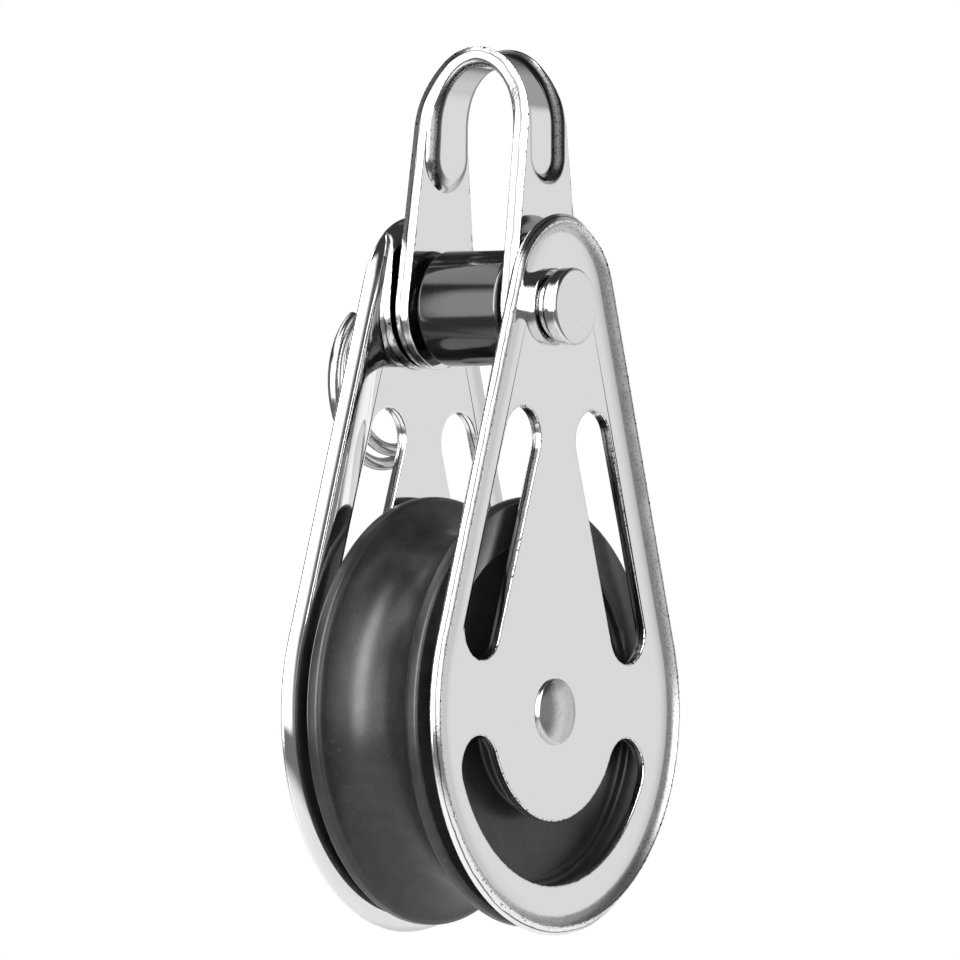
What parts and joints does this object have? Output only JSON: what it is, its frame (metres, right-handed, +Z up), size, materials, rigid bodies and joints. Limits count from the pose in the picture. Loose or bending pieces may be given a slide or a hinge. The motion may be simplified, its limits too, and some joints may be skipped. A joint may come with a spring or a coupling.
{
  "type": "plain bearing block",
  "caption": "Single sheave block for small boats: polished teardrop cheeks with flared rims, plain bearing sheave, bent strip bow on a sleeved clevis pin with split ring.",
  "frame": {"origin": "middle of the sheave, on the axle's line and halfway between the cheeks", "axes": "+Z up to the bow, +Y along the axle from the pin's head towards the split ring, +X across the cheeks"},
  "size_m": [0.0434, 0.0241, 0.0869],
  "materials": {
    "cheek_steel": "mirror-polished stainless sheet",
    "bow_steel": "mirror-polished stainless strip",
    "pin_steel": "polished turned stainless",
    "rivet_steel": "satin, slightly pitted dome",
    "wire_steel": "bright drawn wire",
    "tube_steel": "ground",
    "sheave_plastic": "satin dark grey moulding",
    "bush_plastic": "plain bearing plastic",
    "sleeve_plastic": "glossy black"
  },
  "bodies": {
    "bow": {"bow": "bow_steel"},
    "block": {"front_cheek": "cheek_steel", "back_cheek": "cheek_steel", "axle_tube": "tube_steel", "axle_rivet": "rivet_steel", "clevis_pin": "pin_steel"},
    "sheave": {"sheave": "sheave_plastic", "bearing_bush": "bush_plastic"},
    "sleeve": {"pin_sleeve": "sleeve_plastic"},
    "ring": {"split_ring": "wire_steel"}
  },
  "joints": [
    {"name": "bow_swing", "type": "hinge", "parent": "bow", "child": "block", "pos_m": [0, 0, 0.0395], "axis": [0, 1, 0], "range_deg": [-135, 135]},
    {"name": "sheave_spin", "type": "hinge", "parent": "block", "child": "sheave", "pos_m": [0, 0, 0], "axis": [0, 1, 0], "continuous": true},
    {"name": "sleeve_spin", "type": "hinge", "parent": "block", "child": "sleeve", "pos_m": [0, 0, 0.0395], "axis": [0, 1, 0], "continuous": true},
    {"name": "ring_swing", "type": "hinge", "parent": "block", "child": "ring", "pos_m": [0, 0.0118, 0.0395], "axis": [1, 0, 0], "range_deg": [0, 90]}
  ]
}
